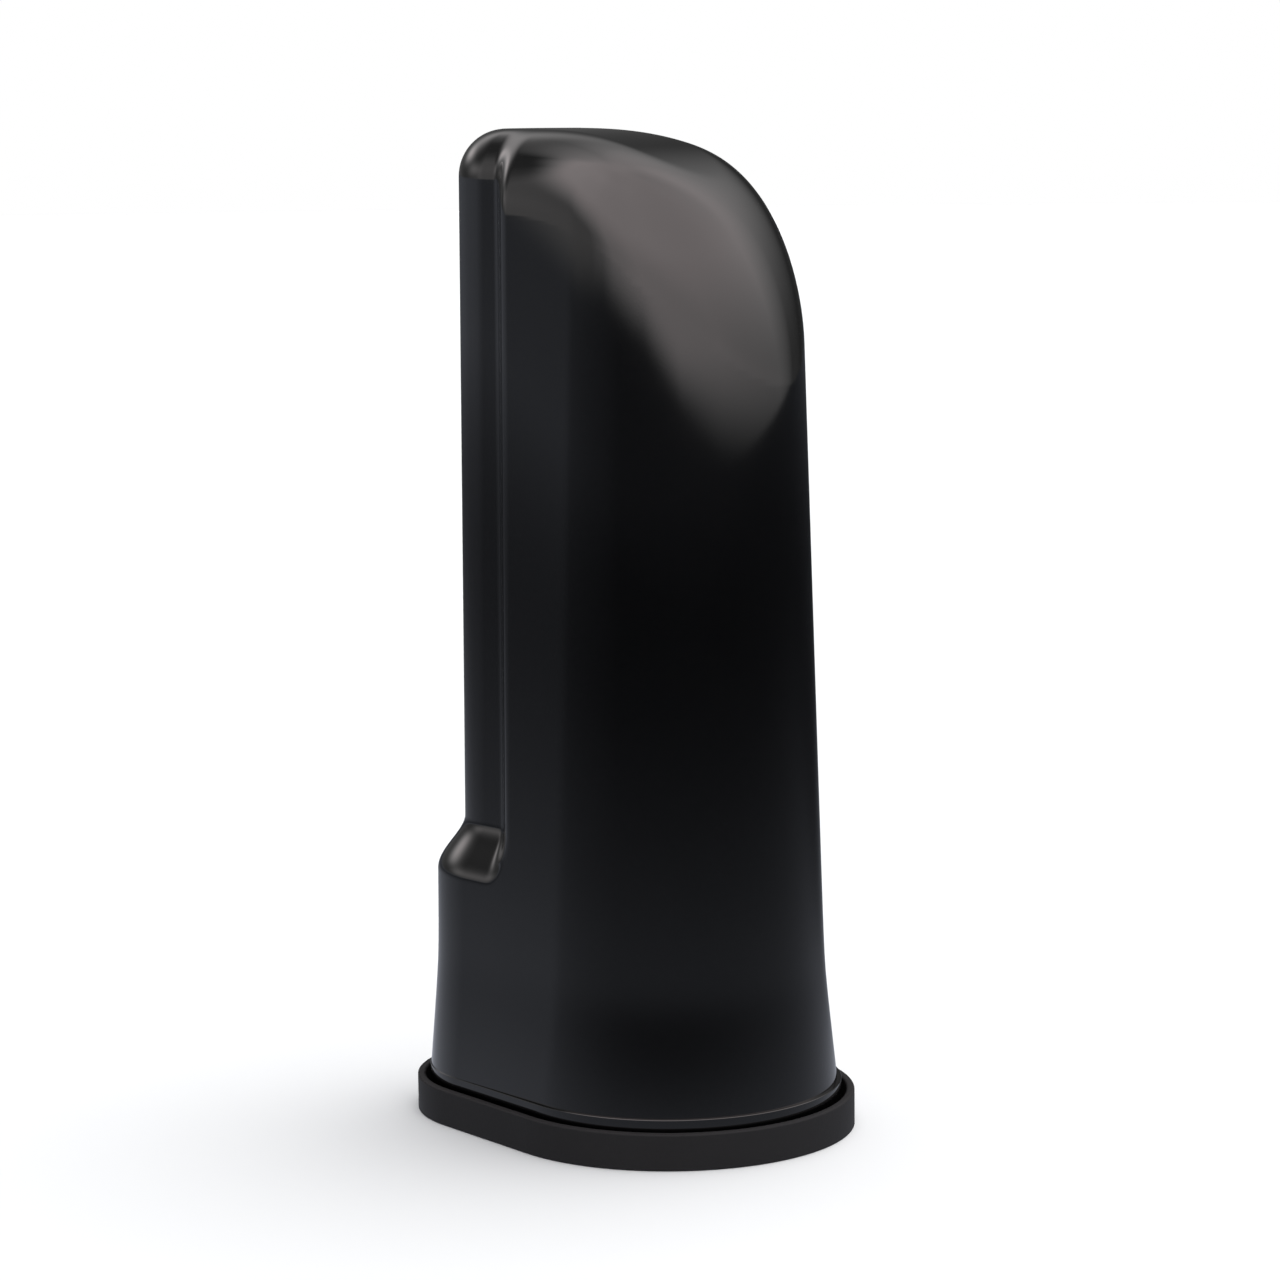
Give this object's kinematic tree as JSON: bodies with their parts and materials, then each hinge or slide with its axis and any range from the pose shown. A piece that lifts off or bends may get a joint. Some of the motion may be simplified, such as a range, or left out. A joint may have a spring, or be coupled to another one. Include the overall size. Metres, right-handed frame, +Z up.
{
  "type": "yagi antenna",
  "caption": "Tall closed directional antenna: black radome with a blunt round nose and a recessed tail fin on a lipped rubber gasket, with a printed Yagi array inside.",
  "frame": {"origin": "centre of the bounding box at the underside of the gasket", "axes": "+X towards the blunt nose, -X towards the recessed tail fin, +Z up; the object is mirror symmetric about Y = 0 outside"},
  "size_m": [0.094, 0.074, 0.2],
  "materials": {
    "radome_plastic": "satin, fine grain",
    "gasket_rubber": "matt",
    "plate_plastic": "fine texture",
    "seal_rubber": "matt",
    "stainless": "satin",
    "insert_brass": "machined",
    "nickel": "plated",
    "contact_gold": "plated",
    "ptfe": "smooth",
    "board_laminate": "solder mask",
    "copper": "tinned edge, bare copper",
    "coax_jacket": "smooth",
    "solder": "bright",
    "nylon": "natural",
    "vent_plastic": "smooth",
    "foam": "closed cell"
  },
  "bodies": {
    "root": {"radome": "radome_plastic", "mounting_gasket": "gasket_rubber", "base_plate": "plate_plastic", "base_seal": "seal_rubber", "base_screws": "stainless", "foot_screws": "stainless", "mounting_inserts": "insert_brass", "vent_plug": "vent_plastic", "connector_body": "nickel", "connector_nut": "nickel", "connector_washer": "nickel", "connector_seal": "seal_rubber", "connector_insulator": "ptfe", "connector_contact": "contact_gold", "yagi_board": "board_laminate", "reflector_strips": "copper", "director_strips": "copper", "driven_dipoles": "copper", "feed_lines": "copper", "board_brackets": "nylon", "board_bolts": "stainless", "board_nuts": "stainless", "feed_coax": "coax_jacket", "coax_core": "copper", "solder_joints": "solder", "cable_ferrule": "nickel", "cable_clips": "nylon", "foam_pads": "foam"}
  },
  "joints": []
}
